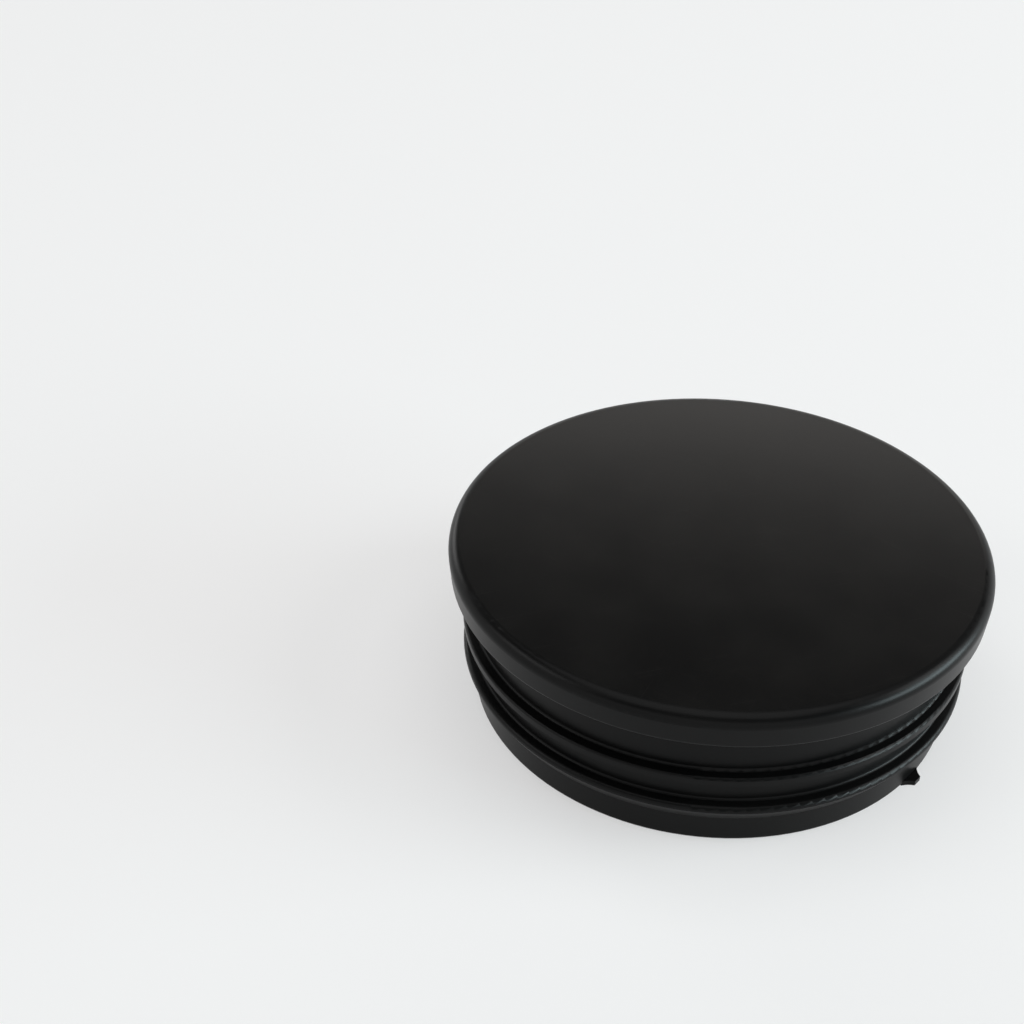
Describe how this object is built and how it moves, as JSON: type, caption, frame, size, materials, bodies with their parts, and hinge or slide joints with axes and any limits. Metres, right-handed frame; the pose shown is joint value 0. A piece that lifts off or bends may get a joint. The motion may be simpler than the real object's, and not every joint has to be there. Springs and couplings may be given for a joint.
{
  "type": "tube end cap",
  "caption": "Round push-in cap for the end of a tube: a low crowned head over a hollow plug with two gripping ribs.",
  "frame": {"origin": "middle of the plug's open end, on the cap's axis, at the height that the cap rests on", "axes": "+Z along the cap's axis, from the plug's open end towards the head's face; the gate stub lies 33 degrees from +X towards -Y"},
  "size_m": [0.0598, 0.0598, 0.0198],
  "materials": {
    "body": "satin"
  },
  "bodies": {
    "root": {"end_cap": "body"}
  },
  "joints": []
}
